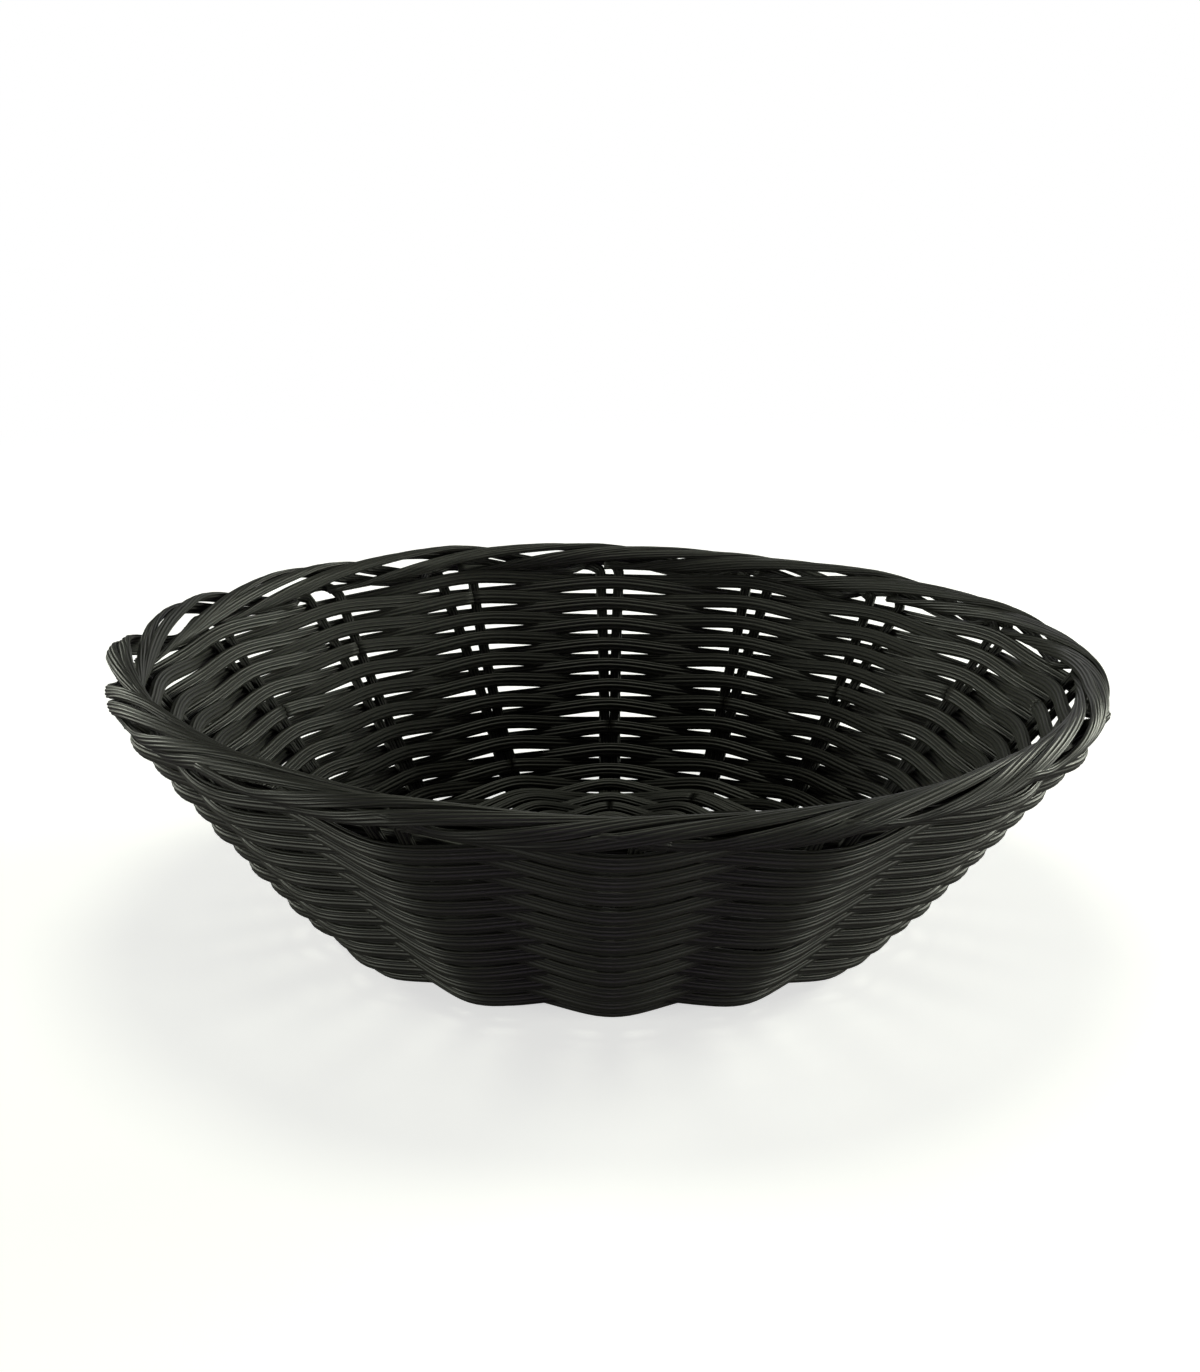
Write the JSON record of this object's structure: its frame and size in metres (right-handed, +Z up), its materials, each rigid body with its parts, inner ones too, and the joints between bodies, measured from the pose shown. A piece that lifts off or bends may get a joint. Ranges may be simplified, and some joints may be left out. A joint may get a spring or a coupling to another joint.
{
  "type": "woven fruit basket",
  "caption": "Round flared table basket woven from flat ribbed plastic cane, with crossed stake canes, in-and-out weaving and a rolled rope border.",
  "frame": {"origin": "on the table, under the middle of the round base", "axes": "+Z up through the middle of the bowl; +X and +Y across the rim, each over one stake pair"},
  "size_m": [0.251, 0.251, 0.0702],
  "materials": {
    "stake_cane": "satin, ribbed along its length",
    "base_weaver": "satin, ribbed along its length",
    "wall_weaver": "satin, ribbed along its length"
  },
  "bodies": {
    "root": {"stake_cane_01": "stake_cane", "stake_cane_02": "stake_cane", "stake_cane_03": "stake_cane", "stake_cane_04": "stake_cane", "stake_cane_05": "stake_cane", "stake_cane_06": "stake_cane", "stake_cane_07": "stake_cane", "stake_cane_08": "stake_cane", "stake_cane_09": "stake_cane", "stake_cane_10": "stake_cane", "stake_cane_11": "stake_cane", "stake_cane_12": "stake_cane", "stake_cane_13": "stake_cane", "stake_cane_14": "stake_cane", "stake_cane_15": "stake_cane", "stake_cane_16": "stake_cane", "base_weaver_01": "base_weaver", "base_weaver_02": "base_weaver", "base_weaver_03": "base_weaver", "base_weaver_04": "base_weaver", "base_weaver_05": "base_weaver", "base_weaver_06": "base_weaver", "base_weaver_07": "base_weaver", "base_weaver_08": "base_weaver", "base_weaver_09": "base_weaver", "base_weaver_10": "base_weaver", "base_weaver_11": "base_weaver", "wall_weaver_01": "wall_weaver", "wall_weaver_02": "wall_weaver", "wall_weaver_03": "wall_weaver", "wall_weaver_04": "wall_weaver", "wall_weaver_05": "wall_weaver", "wall_weaver_06": "wall_weaver", "wall_weaver_07": "wall_weaver", "wall_weaver_08": "wall_weaver", "wall_weaver_09": "wall_weaver", "wall_weaver_10": "wall_weaver", "wall_weaver_11": "wall_weaver", "wall_weaver_12": "wall_weaver", "wall_weaver_13": "wall_weaver", "wall_weaver_14": "wall_weaver", "wall_weaver_15": "wall_weaver", "wall_weaver_16": "wall_weaver", "wall_weaver_17": "wall_weaver", "wall_weaver_18": "wall_weaver", "wall_weaver_19": "wall_weaver", "wall_weaver_20": "wall_weaver", "wall_weaver_21": "wall_weaver", "wall_weaver_22": "wall_weaver", "wall_weaver_23": "wall_weaver"}
  },
  "joints": []
}
